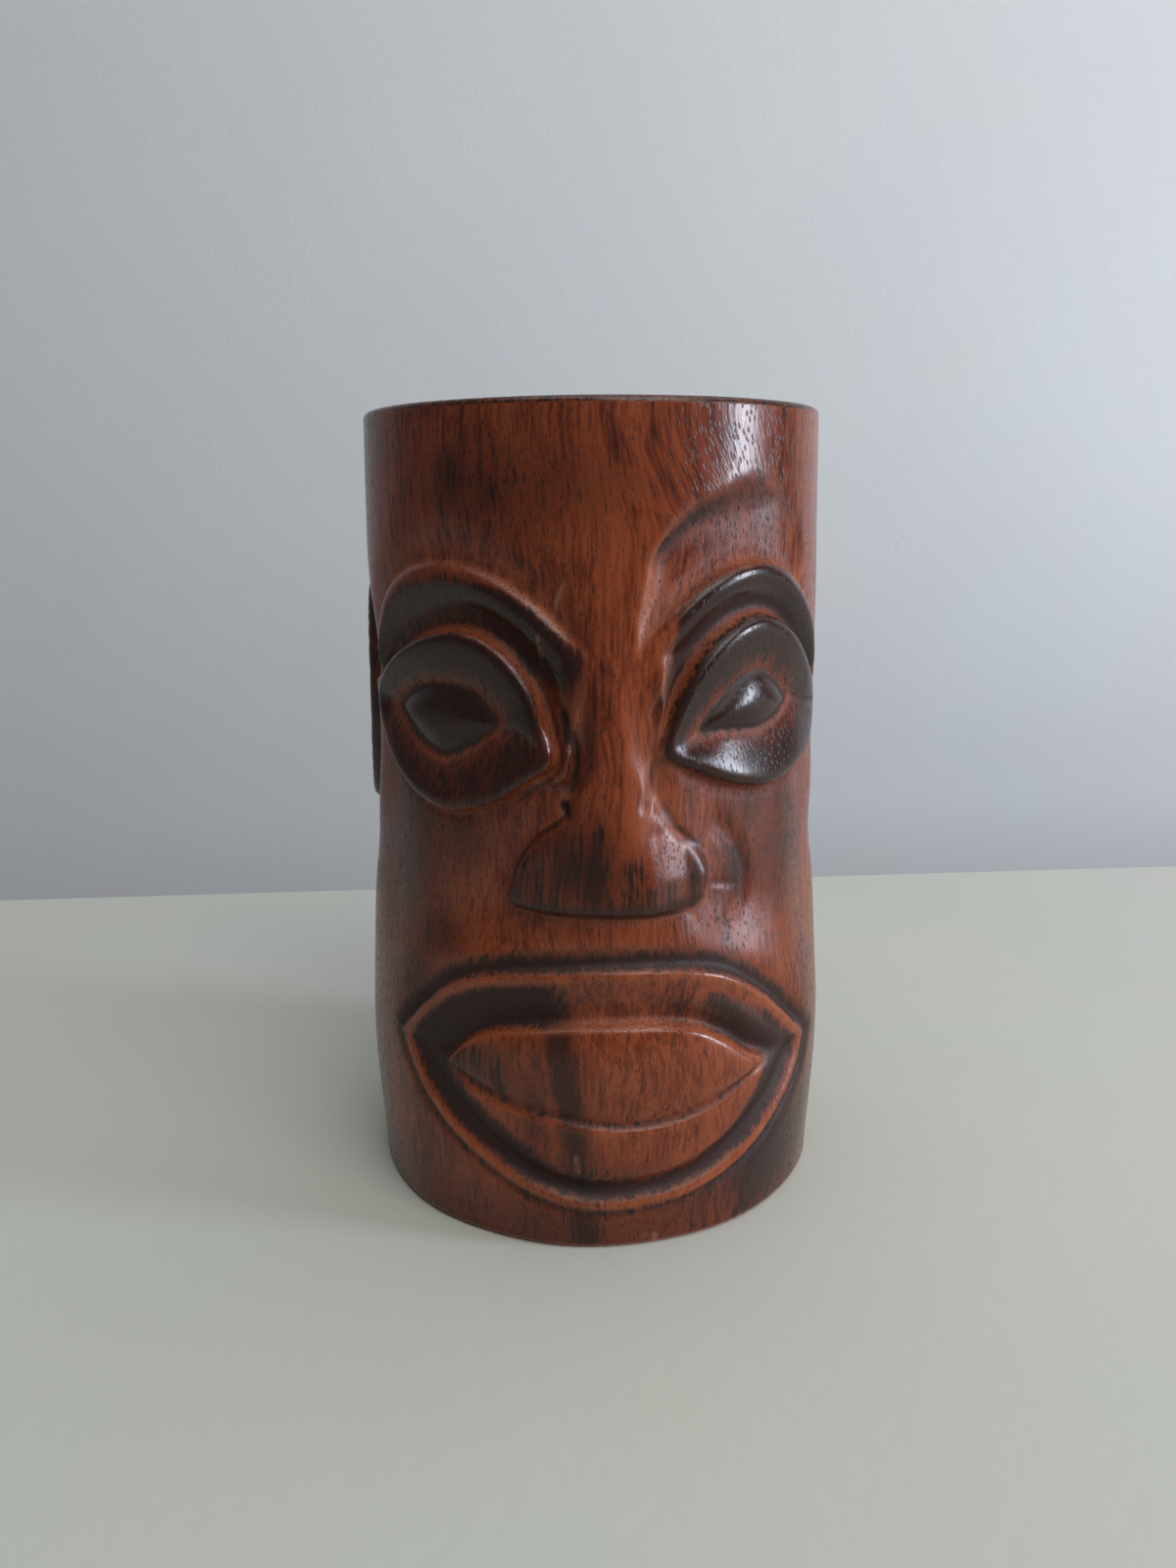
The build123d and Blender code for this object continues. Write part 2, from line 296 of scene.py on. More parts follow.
for name, sign in (("left", -1), ("right", 1)):
    eye = eyes[name]
    browLine = smoothLine(flat(eye["brow"]))
    browReach = reachTo(np.vstack([browLine, smoothLine(flat(eye["browBack"]))]))
    browAway = reachTo(browLine, closed=False)
    lidReach = reachTo(smoothLine(flat(eye["lid"]), closed=True))
    openReach = reachTo(outlineOf(eye["opening"]))

    # the forehead dips to the brow's line: a bell of the distance above it
    above = (browReach < 0.5) & (height > 112)
    dip = forehead[name + "Dip"] * bell(browAway, forehead["dipReach"]) * step(side, 4, 13)
    depth -= np.where(above, dip, 0)

    # brow: rises from its line to a round crest, then falls in a curve to the lid's bevel
    inBand = np.clip(browReach, 0, None)
    toLid = np.clip(-lidReach, 0, None)
    share = inBand / (inBand + toLid + 1e-6)
    rising = -eye["browRise"] * np.clip(1 - share / eyes["browCrest"], 0, 1) ** 2
    past = np.clip((share - eyes["browCrest"]) / (1 - eyes["browCrest"]), 0, 1)
    falling = -eyes["valley"] * step(past, 0, 0.82) ** 1.1 + eyes["valleyRise"] * step(past, 0.8, 1.0)
    depth = mix(depth, rising + falling, step(browReach, -0.25, eyes["wall"]))

    # its shading: dark past the crest, lighter in the outer valley, and clear of the nose's flank
    browBurn = step(share, 0.02, mix(0.12, eye["browFade"], step(side, 20, 38)))
    valleyBurn = mix(0.88, eye["valleyBurn"], step(side, 26, 40))
    browBurn = browBurn * mix(1.0, valleyBurn, step(share, eye["valleyFrom"], eye["valleyFrom"] + 0.3))
    browBurn = browBurn * step(browReach, eye["burnFrom"], eye["burnFrom"] + 0.8)
    if "burnEdge" in eye:
        browBurn = browBurn * step(angle - np.interp(height, *np.transpose(eye["burnEdge"])), -0.2, 0.9)
    browBurn = browBurn * (1 - step(share, 0.94, 1.0))
    browBurn = browBurn * (1 - (1 - step(side, 18, 30)) * (1 - step(height, *eye["burnFoot"])))
    burnAndShade = np.maximum(burnAndShade, 0.97 * browBurn)
    rubbedAndHighlight = mix(eye["lineWorn"], eye["lineWornAside"], step(side, 20, 34))
    wornAndHighlight = np.maximum(wornAndHighlight, rubbedAndHighlight * bell(browAway - 0.15, 0.45, 4))

    # lid: a bevel up from the valley, a round roll, then a fall to the opening
    bevel = mix(0.9, eye["bevel"], step(height, 96, 104) * step(-sign * (angle - sign * 62), 0, 12))
    toOpen = np.clip(-openReach, 0, None)
    inLid = np.clip(lidReach, 0, None)
    share = inLid / (inLid + toOpen + 1e-6)
    edge = np.clip(1 - inLid / eyes["crestRun"], 0, 1) ** 2
    roll = -eyes["lidCrest"] - (eye["lidEdge"] - eyes["lidCrest"]) * edge
    # past the crest the slope comes on quickly, as a hyperbola does
    past = np.clip((share - eyes["lidCrestAt"]) / (1 - eyes["lidCrestAt"]), 0, 1)
    bend = eyes["crestBend"]
    bent = (np.sqrt(past ** 2 + bend ** 2) - bend) / (math.sqrt(1 + bend ** 2) - bend)
    roll -= (eyes["lidFall"] - eyes["lidCrest"]) * bent
    depth = mix(depth, roll, step(lidReach, -0.6 * bevel, 0.4 * bevel))
    lidBurnFrom = eye["lidBurnFrom"]
    lidBurn = step(lidReach, lidBurnFrom, lidBurnFrom + 0.8) * mix(1.0, 0.62, step(share, 0.55, 0.9))
    lidBurn = lidBurn * mix(eye["lowerLidBurn"], 0.97, step(height, 103, 109))
    lidBurn = lidBurn * (1 - 0.5 * step(share, 0.9, 1.0))
    onLid = step(lidReach, lidBurnFrom - 1.2, lidBurnFrom - 0.3)
    burnAndShade = mix(burnAndShade, lidBurn, onLid)
    strip = bell(lidReach + 0.15 * bevel, 0.5 * bevel, 4) * mix(0.45, 1.0, step(height, 92, 100))
    wornAndHighlight = np.maximum(wornAndHighlight * (1 - onLid), strip * mix(1.0, 0.45, step(side, 42, 52)))

    # eyeball: a step down at the opening, then a dome over half its width
    ball = -eyes["lidFall"] - eyes["openingStep"]
    ball = ball + eyes["ballDome"] * (1 - (1 - np.clip(openReach / eyes["ballRun"], 0, 1)) ** 2)
    inOpen = step(openReach, -0.2, 1.1)
    depth = mix(depth, ball, inOpen)
    ballBurn = eye["ballBurn"] * mix(1.0, 0.92, step(openReach, 2.5, 5.0))
    burnAndShade = mix(burnAndShade, ballBurn, step(openReach, 0.4, 1.2))
    wornAndHighlight = np.maximum(wornAndHighlight * (1 - inOpen), 0.6 * bell(openReach - 0.1, 0.5))

    # tear duct: one cut of the knife from the corner of the opening
    duct = lineAwayFrom(eye["duct"])
    depth -= eyes["ductDepth"] * bell(duct, eyes["ductWidth"])
    wornAndHighlight = np.maximum(wornAndHighlight, 0.4 * bell(duct - 0.7, eyes["ductWidth"]))

print("relief: mouth")
mouth = {
    "upper": [(-57.5, 39), (-50, 46.3), (-40, 53.4), (-28, 57.4), (-13, 58.9), (2, 59.4), (16, 58.6),
              (28, 55.8), (40, 49), (49, 42.2), (58, 35.4)],
    "lower": [(58, 35.4), (54, 29.4), (46, 22.6), (34, 15.6), (20, 10.8), (7, 8.9), (-6, 8.6),
              (-18, 11.2), (-30, 16.4), (-41, 22.6), (-50, 30), (-57.5, 39)],
    "teethUpper": [(-42, 36.8), (-37, 41.6), (-29.5, 45.4), (-16.5, 47.4), (-6, 48.2), (8, 48.1),
                   (19, 46.4), (27.5, 42.8), (35, 38), (40.5, 35.2)],
    "teethLower": [(40.5, 35.2), (34, 31.6), (26, 28.7), (17, 26.9), (6, 26.2), (-5, 26.9), (-16, 28.7),
                   (-26, 30.3), (-34, 32.8), (-42, 36.8)],
    "corners": ([-57.5, -41.5, 40.5, 58.5], [39, 37.4, 35.2, 35.8]),     # the line between the two lips
    "coveAbove": 2.5, "coveReach": 4.5, "groove": 0.9,
    "ridgeWidth": 2.1, "ridge": 0.25, "cove": 2.4, "lipEdge": 0.9,
    "facet": 0.3, "facetFall": 0.7, "upperFall": 2.6,
    "teethEdge": 1.2, "teethFoot": 2.4, "teethDome": 1.2,
}
mouthUpper, mouthLower = smoothLine(flat(mouth["upper"])), smoothLine(flat(mouth["lower"]))
teethUpper, teethLower = smoothLine(flat(mouth["teethUpper"])), smoothLine(flat(mouth["teethLower"]))
lipReach = reachTo(np.vstack([mouthUpper[:-1], mouthLower[:-1]]))
teethReach = reachTo(np.vstack([teethUpper[:-1], teethLower[:-1]]))
upperAway, lowerAway = reachTo(mouthUpper, closed=False), reachTo(mouthLower, closed=False)
teethTopAway, teethFootAway = reachTo(teethUpper, closed=False), reachTo(teethLower, closed=False)

# cove above the mouth: deepest at the contour, dying out upwards
outside = np.clip(-lipReach, 0, None)
aboveMouth = (upperAway < lowerAway) & (lipReach < 0)
covered = np.where(aboveMouth, bell(outside, mouth["coveReach"]), 0) * (1 - step(side, 50, 60))
depth = np.minimum(depth, mix(depth, -mouth["coveAbove"], covered))
burnAndShade = np.where(aboveMouth, np.maximum(burnAndShade, bell(outside, 3.8, 4)), burnAndShade)
# groove outside the lower rim, scorched further out under its right half
belowMouth = (lowerAway <= upperAway) & (lipReach < 0)
depth -= np.where(belowMouth, mouth["groove"] * bell(outside - 0.4, 1.0), 0)
grooveBurn = np.maximum(0.9 * bell(outside - 0.2, 1.5), 0.96 * step(angle, 6, 32) * bell(outside, 7.5))
burnAndShade = np.where(belowMouth, np.maximum(burnAndShade, grooveBurn), burnAndShade)

inLip = np.clip(lipReach, 0, None)
toTeeth = np.clip(-teethReach, 0, None)
share = inLip / (inLip + toTeeth + 1e-6)
upper = step(height - np.interp(angle, *mouth["corners"]), -3.5, 3.5)
# upper lip: a clean facet, then a cove down to the teeth
fallFrom = mix(0.22, 0.5, step(angle, 8, 24))
upperLip = -mouth["facet"] - mouth["facetFall"] * step(share, 0, 0.35)
upperLip = upperLip - mouth["upperFall"] * step(share, fallFrom, 0.97)
# lower lip: a ridge along the contour, a cove, then a slope up to the lip's edge
ends = step(np.abs(angle + 1), 18, 40)
coveAt, coveHalf = mix(4.3, 5.0, ends), mix(2.2, 2.9, ends)
lowerLip = -mix(mouth["ridge"], mouth["lipEdge"], step(inLip, 1.2, 3.5))
lowerLip = lowerLip - (mouth["cove"] - mouth["lipEdge"]) * bell(inLip - coveAt, coveHalf)
lowerLip = lowerLip * mix(0.5, 1.0, step(inLip, 0.3, 2.6))
depth = mix(depth, mix(lowerLip, upperLip, upper), step(lipReach, mix(-0.4, -1.2, upper), 0.7))
# teeth: an edge proud of the upper lip, a dome, and a foot tucked under the lower lip
down = teethTopAway / (teethTopAway + teethFootAway + 1e-6)
teeth = mouth["teethDome"] * np.sin(math.pi * np.clip(down, 0, 1))
teeth = teeth - mix(mouth["teethEdge"], mouth["teethFoot"], down ** 2)
depth = mix(depth, teeth, step(teethReach, -0.25, 0.7))

# scorching of the lips: the left of the upper cove, its right end, and the lower cove
leftBurn = 0.97 * (1 - step(angle, -18, -7)) * step(inLip, 1.5, 2.8)
rightBurn = 0.92 * step(angle, 16, 30) * step(share, 0.20, 0.5)
endBurn = 0.9 * step(angle, 33, 42) * step(inLip, 1.8, 3.2)
upperBurn = np.maximum(np.maximum(leftBurn, rightBurn), endBurn)
burnEnd = np.interp(angle, [-44, -30, -12, 12, 28, 44], [1.1, 0.80, 0.42, 0.36, 0.52, 1.0])
lowerBurn = 0.97 * step(inLip, mouth["ridgeWidth"] - 0.5, mouth["ridgeWidth"] + 0.7)
lowerBurn = lowerBurn * (1 - step(share, burnEnd - 0.16, burnEnd + 0.10))
burnAndShade = mix(burnAndShade, mix(lowerBurn, upperBurn, upper), step(lipReach, 0.0, 0.6))
teethBurn = 0.62 * (1 - step(angle, -30, -16)) * step(down, 0.05, 0.3)
teethBurn = np.maximum(teethBurn, 0.8 * step(angle, 20, 33) * step(down, 0.62, 0.9))
teethBurn = np.maximum(teethBurn, 0.9 * step(down, 0.90, 0.99))
burnAndShade = mix(burnAndShade, teethBurn, step(teethReach, -0.1, 0.5))
wornAndHighlight = np.maximum(wornAndHighlight, 0.75 * bell(lipReach - 1.1, 1.1) * mix(1.0, 0.7, upper))
lowerHalf = step(down, 0.4, 0.6)
wornAndHighlight = np.maximum(wornAndHighlight, 0.85 * (1 - 0.6 * lowerHalf) * bell(teethReach - 0.4 + lowerHalf, 0.6))

print("relief: ears")
ears = {
    "angles": (-93.5, 97.0), "halfAngle": 12.0, "height": 107.0, "halfHeight": 24.5,
    "rim": 3.0, "hollow": 2.2, "dish": 0.9, "ground": 2.7, "proud": 0.3,
}
for middle in ears["angles"]:
    x = (angle - middle) / ears["halfAngle"]
    y = (height - ears["height"]) / ears["halfHeight"]
    length = np.hypot(x, y) + 1e-6
    # distance to an ellipse, taken as (1 - length) * length / size of its gradient
    slope = np.hypot(x / (ears["halfAngle"] * perDegree), y / ears["halfHeight"]) + 1e-6
    earReach = (1 - length) * length / slope
    ground = bell(np.clip(-earReach - 1.5, 0, None), 3.5) * step(earReach, 0.5, -0.7)
    depth = np.minimum(depth, mix(depth, -ears["ground"], ground))
    onEar = step(earReach, -0.5, 0.9)
    rim = onEar * (ears["proud"] - 0.5 * np.clip(1 - earReach / 1.5, 0, 1) ** 2)
    depth = mix(depth, rim, onEar)
    inEar = step(earReach, ears["rim"] - 0.4, ears["rim"] + 1.2)
    depth = mix(depth, -ears["hollow"] + ears["dish"] * step(earReach, 4.6, 7.5), inEar)
    rimBurn = 0.9 * step(earReach, -3.0, -0.5) * (1 - 0.35 * step(earReach, 0.2, 1.2))
    burnAndShade = np.maximum(burnAndShade * (1 - inEar), rimBurn)
    burnAndShade = np.maximum(burnAndShade, 0.9 * inEar)
    wornAndHighlight = np.maximum(wornAndHighlight, 0.5 * bell(earReach - 1.6, 0.5))

print("relief: cuts and scratches")
# Single cuts of a veiner: the points it passes, width, depth, and how light the torn wood beside it is
cuts = [
    ([(-10.9, 109.6), (-10.2, 106.5), (-9.9, 103.6)], 1.5, 2.2, 0.0),
    ([(-8.6, 105.6), (-7.9, 101.5), (-8.0, 98), (-9.6, 94.4)], 1.1, 1.5, 0.15),
    ([(-10.8, 91.8), (-9.8, 89.8)], 1.4, 1.6, 0.0),
    ([(-12.2, 98.6), (-11.0, 95.6), (-10.4, 93.4)], 0.8, 0.5, 0.5),
    ([(-13.4, 97.0), (-17, 95.0), (-22, 92.4)], 0.8, 0.7, 0.1),
    ([(9.9, 99.4), (8.7, 93.9), (7.4, 91.2)], 1.1, 1.1, 0.4),
    ([(11.8, 100.0), (10.9, 93.6)], 0.7, 0.6, 0.4),
    ([(12.2, 91.4), (15.6, 87.6)], 0.8, 0.6, 0.3),
    ([(13.6, 118.6), (11.8, 112.4)], 0.7, 0.5, 0.7),
    ([(14.6, 117.0), (12.6, 110.6)], 0.6, 0.4, 0.3),
    ([(11.1, 111.9), (9.7, 108.2)], 0.9, 0.8, 0.0),
    ([(26.8, 74.1), (34.6, 72.5)], 0.7, 0.6, 0.0),
    ([(-28.2, 77.2), (-25.2, 75.6)], 0.7, 0.6, 0.0),
    ([(18.8, 69.4), (21.6, 67.6), (20.4, 66.4)], 0.5, 0.4, 0.5),
]
# Pale scratches and chips in the finish: start, end, width
scratches = [
    ((-10.2, 132.6), (-11.8, 129.6), 0.30), ((-11.8, 129.6), (-12.5, 126.8), 0.26),
    ((-16.0, 123.2), (-15.8, 122.4), 0.34), ((-15.7, 121.2), (-15.6, 119.4), 0.30),
    ((-8.5, 20.8), (-8.2, 17.2), 0.30), ((9.5, 2.2), (9.7, 1.2), 0.45), ((6.9, 2.4), (7.2, 1.6), 0.25),
]
torn = np.zeros_like(across)
rawWood = np.zeros_like(across)
for passes, width, deep, pale in cuts:
    away = lineAwayFrom(passes)
    depth -= deep * bell(away, 0.5 * width)
    burnAndShade = np.maximum(burnAndShade, (1 - pale) * 0.96 * bell(away, 0.5 * width, 4))
    rawWood = np.maximum(rawWood, bell(away, 1.2 * width))
    torn = np.maximum(torn, 0.5 * pale * bell(away - 0.7 * width, 0.5))
for start, end, width in scratches:
    torn = np.maximum(torn, 0.9 * bell(reachTo(flat([start, end]), closed=False), width))

print("shading")
for field in (depth, burnAndShade, wornAndHighlight):
    field[:] = softened(field, 1)          # rounds what the grid can't carry
offLips = lipReach < 0
# cloth and sandpaper don't reach the hollows, so the film stays dull where the side lies below its surroundings
dull = step(softened(depth, 24) - depth, 0.05, 0.45)
dull = np.maximum(dull, burnAndShade * step(lipReach, -6, -3) * (1 - step(teethReach, -0.5, 0.5)))
dull = np.maximum(dull, 0.8 * rawWood)
# and it has worn matt on the bridge's right flank, the nose's right wing and below the right cheek
for middle, up, wide, tall, strength, where in (
        (10, 98, 4.28, 9, 0.5, 1), (20, 79, 6.84, 8, 0.3, 1), (26, 65, 10.26, 7, 0.75, offLips)):
    dull = np.maximum(dull, strength * patch(middle, up, wide, tall) * where)
depth += log["facetDepth"] * unevenness(5, 14, 38, 26) * (1 - 0.6 * step(burnAndShade, 0.2, 0.8))

# Stains left by the scorching: angle, height, width, height of the spot, strength, and where it may lie. The
# spots under the scoop's top (34, 147) and in the hollow between the left eye and the bridge (-9, 117) are
# scorch with painted shade; the broad one over the right cheek (54, 78) is painted shade only
onNose = step(noseReach, 0.2, 1.2)
onChin = (teethReach < 0) * (1 - upper)
stains = [
    (-36.5, 151, 4.6, 6.5, 0.70, 1), (-26.5, 149, 4.0, 5.0, 0.62, 1), (-20, 150, 26, 9, 0.40, 1),
    (34, 147, 12, 2.6, 0.35, 1), (-9, 117, 3.4, 6, 0.85, step(-angle, 4.6, 7)),
    (-4.8, 104, 1.5, 9, 0.50, 1), (-60, 78, 14, 22, 0.55, 1), (-37, 82, 9, 6, 0.52, 1),
    (-47, 62, 9, 7, 0.55, 1), (35.5, 75.5, 4.2, 6.5, 0.82, 1), (40, 88, 9, 6, 0.40, 1),
    (50, 79, 3.0, 6, 0.55, 1), (54, 78, 12, 15, 0.58, 1), (-9, 80, 6.5, 9.5, 0.85, onNose),
    (-4, 79, 4.5, 11, 0.95, onNose), (4, 77, 9, 7, 0.62, onNose), (9, 74.5, 9, 4.5, 0.72, onNose),
    (21, 77, 4.6, 6, 0.72, onNose), (42, 14, 28, 19, 1.0, offLips), (-52, 52, 9, 9, 0.5, offLips),
    (-6, 15, 16, 6, 0.45, onChin),
]
for middle, up, wide, tall, strength, where in stains:
    burnAndShade = np.maximum(burnAndShade, strength * patch(middle, up, wide, tall) * where)
# the nose's left half is scorched; along the underside of its wings and round its outline the scorch is
# deepened with painted shade
burnAndShade = np.maximum(burnAndShade, 0.66 * onNose * (1 - step(height, 84, 91)) * (1 - step(angle, -18, -4)))
burnAndShade = np.maximum(burnAndShade, 0.85 * step(noseReach, 0.0, 0.7) * (1 - step(height, 71.5, 77)))
burnAndShade = np.maximum(burnAndShade, 0.8 * bell(noseReach, 0.5) * (1 - step(height, 88, 92)))
# the side painted darker towards the foot
burnAndShade = np.maximum(burnAndShade, 0.42 * (1 - step(height, 3, 20)) * offLips)

# dark heartwood streak that runs down from the mouth to the foot: heights, angles, and where it ends
heartLine = {"heights": [0, 20, 50, 62], "angles": [-6.5, -8, -13, -13.5], "halfAngle": 4.0, "top": (50, 62)}
offStreak = np.abs(angle - np.interp(height, heartLine["heights"], heartLine["angles"]))
heart = bell(offStreak, heartLine["halfAngle"]) * (1 - step(height, *heartLine["top"]))
heart = np.maximum(heart, 0.55 * patch(-18, 30, 3.5, 12) * (lipReach > 0))
# the grain leans over beside a knot on the upper right forehead
knot = {"angle": 20, "height": 150, "size": 17, "lean": 9.0}
lean = knot["lean"] * patch(knot["angle"], knot["height"], knot["size"], knot["size"])
lean = lean * (height - knot["height"]) / knot["size"]


def closedGrid(radius, turn, up):
    # (r sin turn, -r cos turn, up) on a grid that closes round both ways, the first row joined to the last
    rows, columns = radius.shape
    points = np.stack([radius * np.sin(turn), -radius * np.cos(turn), up], -1).reshape(-1, 3) * mm
    index = np.arange(rows * columns).reshape(rows, columns)
    right, above = np.roll(index, -1, axis=1), np.roll(index, -1, axis=0)
    corner = np.roll(right, -1, axis=0)
    faces = np.stack([index, right, corner, above], -1).reshape(-1, 4)
    return points, faces


def meshPiece(name, points, faces):
    # an object at the origin with these points and smooth four-sided faces
    data = bpy.data.meshes.new(name)
    data.vertices.add(len(points))
    data.vertices.foreach_set("co", points.astype(np.float32).ravel())
    data.loops.add(faces.size)
    data.loops.foreach_set("vertex_index", faces.astype(np.int32).ravel())
    data.polygons.add(len(faces))
    data.polygons.foreach_set("loop_start", np.arange(0, faces.size, faces.shape[1], dtype=np.int32))
    data.polygons.foreach_set("use_smooth", np.ones(len(faces), bool))
    data.update(calc_edges=True)
    data.validate()
    piece = bpy.data.objects.new(name, data)
    bpy.context.scene.collection.objects.link(piece)
    return piece


def arc(centre, radius, start, end, count):
    # (radius, height) pairs round a turn: centre + radius * (cos, sin), in degrees from outward
    turn = np.radians(np.linspace(start, end, count))
    return np.stack([centre[0] + radius * np.cos(turn), centre[1] + radius * np.sin(turn)], -1)


print("mug body")
carved = sideRadius(height) + depth
top, rimRound, mouthRound = log["height"], log["rimRound"], log["mouthRound"]
floor, bore, ledge = log["floor"], log["boreRadius"], log["boreRadius"] + log["ledge"]
# rows over the rim and round the foot follow the carved side; the rows between are turned on the lathe
rimRows = arc((0, top - rimRound), rimRound, 0, 90, 7)[1:] - [rimRound, 0]
footRows = np.array([(-2.2, 0.0), (-1.2, 0.0), (-0.75, 0.18), (-0.3, 0.6)])
boreRows = np.vstack([
    [(bore + 4.6, top), (bore + 2.6, top)],
    arc((bore + mouthRound, top - mouthRound), mouthRound, 90, 180, 6),
    np.stack([np.full(9, bore), np.linspace(top - 8, floor + 2, 9)], -1),
    [(bore, floor + 0.3), (bore + 0.3, floor), (ledge - 0.3, floor), (ledge, floor - 0.3),
     (ledge, 6.0), (ledge, 0.5), (ledge + 0.5, 0.0), (ledge + 3, 0.0)],
])
oneRow = np.ones((1, log["columns"]))
radius = np.vstack([carved, carved[-1] + rimRows[:, :1], boreRows[:, :1] * oneRow, carved[0] + footRows[:, :1]])
up = np.vstack([height] + [rows[:, 1:] * oneRow for rows in (rimRows, boreRows, footRows)])
turn = np.radians(np.broadcast_to(angleRow, radius.shape))
points, faces = closedGrid(radius, turn, up)
body = meshPiece("mugBody", points, faces)

plainRows = np.zeros((len(radius) - len(carved), log["columns"]))
rimWorn, rimBurn = plainRows.copy(), plainRows.copy()
rimWorn[:len(rimRows)] = 0.35
rimWorn[-3:] = 0.8
rimBurn[:len(rimRows)] = 0.7
inside = np.zeros_like(radius)
inside[len(carved) + len(rimRows) + 3:-len(footRows) - 1] = 1.0
leanTurn = turn + np.vstack([lean, plainRows]) / log["unroll"]
grainAt = np.stack([radius * np.sin(leanTurn), -radius * np.cos(leanTurn), up], -1) * mm
fields = {
    "burnAndShade": np.vstack([burnAndShade, rimBurn]), "wornAndHighlight": np.vstack([wornAndHighlight, rimWorn]),
    "heart": np.vstack([heart, plainRows]), "torn": np.vstack([torn, plainRows]),
    "inside": inside, "dull": np.vstack([dull, plainRows]),
}
for name, values in fields.items():
    attribute = body.data.attributes.new(name, "FLOAT", "POINT")
    attribute.data.foreach_set("value", np.clip(values, 0, 1).astype(np.float32).ravel())
attribute = body.data.attributes.new("grainAt", "FLOAT_VECTOR", "POINT")
attribute.data.foreach_set("vector", grainAt.astype(np.float32).ravel())

print("floor disc")
floorDisc = {"radius": 41.35, "edge": 0.5, "hole": 0.6, "columns": 160, "rings": 120,
             "ring": 1.1, "ringDepth": 0.06}       # the turning tool's rings, and how deep they are
edge, rimAt = floorDisc["edge"], floorDisc["radius"] - floorDisc["edge"]
ringRadii = np.linspace(floorDisc["hole"], rimAt - 0.2, floorDisc["rings"])
ringDepths = floorDisc["ringDepth"] * (np.sin(ringRadii * 2 * math.pi / floorDisc["ring"]) - 1)
profile = np.vstack([
    np.stack([ringRadii, floor + ringDepths], -1),
    arc((rimAt, floor - edge), edge, 80, 0, 4),
    arc((rimAt, edge), edge, 0, -90, 5),
    np.stack([np.linspace(rimAt - 1, floorDisc["hole"], 24), np.zeros(24)], -1),
])[::-1]
discTurn = np.radians(np.arange(floorDisc["columns"]) * 360 / floorDisc["columns"])
discGrid = np.ones((len(profile), floorDisc["columns"]))
discPoints, discFaces = closedGrid(profile[:, :1] * discGrid, discTurn * discGrid, profile[:, 1:] * discGrid)
disc = meshPiece("floorDisc", discPoints, discFaces)


def addNode(tree, kind, inputs, **settings):
    # one node with its settings; inputs go by name, or in order, and each is a value or what feeds it
    node = tree.nodes.new(kind)
    for key, value in settings.items():
        setattr(node, key, value)
    for key, value in inputs.items() if isinstance(inputs, dict) else enumerate(inputs):
        if isinstance(value, bpy.types.Node):
            value = value.outputs[0]
        if isinstance(value, bpy.types.NodeSocket):
            tree.links.new(value, node.inputs[key])
        else:
            node.inputs[key].default_value = value
    return node


def newMaterial(name):
    # an empty node material
    material = bpy.data.materials.new(name)
    material.use_nodes = True
    material.node_tree.nodes.clear()
    return material, material.node_tree


print("materials")
# colours in sRGB, sizes in millimetres
finish = {
    "lightWood": "#8C4425", "midWood": "#74331B", "deepWood": "#451C12", "heartwood": "#2A100B",
    "burntAndShade": "#1C0E0C", "wornAndHighlightEdge": "#A45A36", "torn": "#A87C5E", "bore": "#5A3320",
    "waver": 18.18, "waverDepth": 4.5,           # how the grain wanders
    "cloudWidth": 21.74, "cloudStretch": 0.35,   # bands of colour across the log, and their squeeze along it
    "bandWidth": 3.03, "bandStretch": 0.09,      # streaks within them
    "fibreWidth": 0.769, "fibreStretch": 0.10,   # real fibres are finer; drawn this coarse so they show
    "poreSpacing": 0.66, "poreLength": 1.8,      # from one open pore to the next
    "film": 0.07,                                # depth of the relief that shows through the lacquer
}


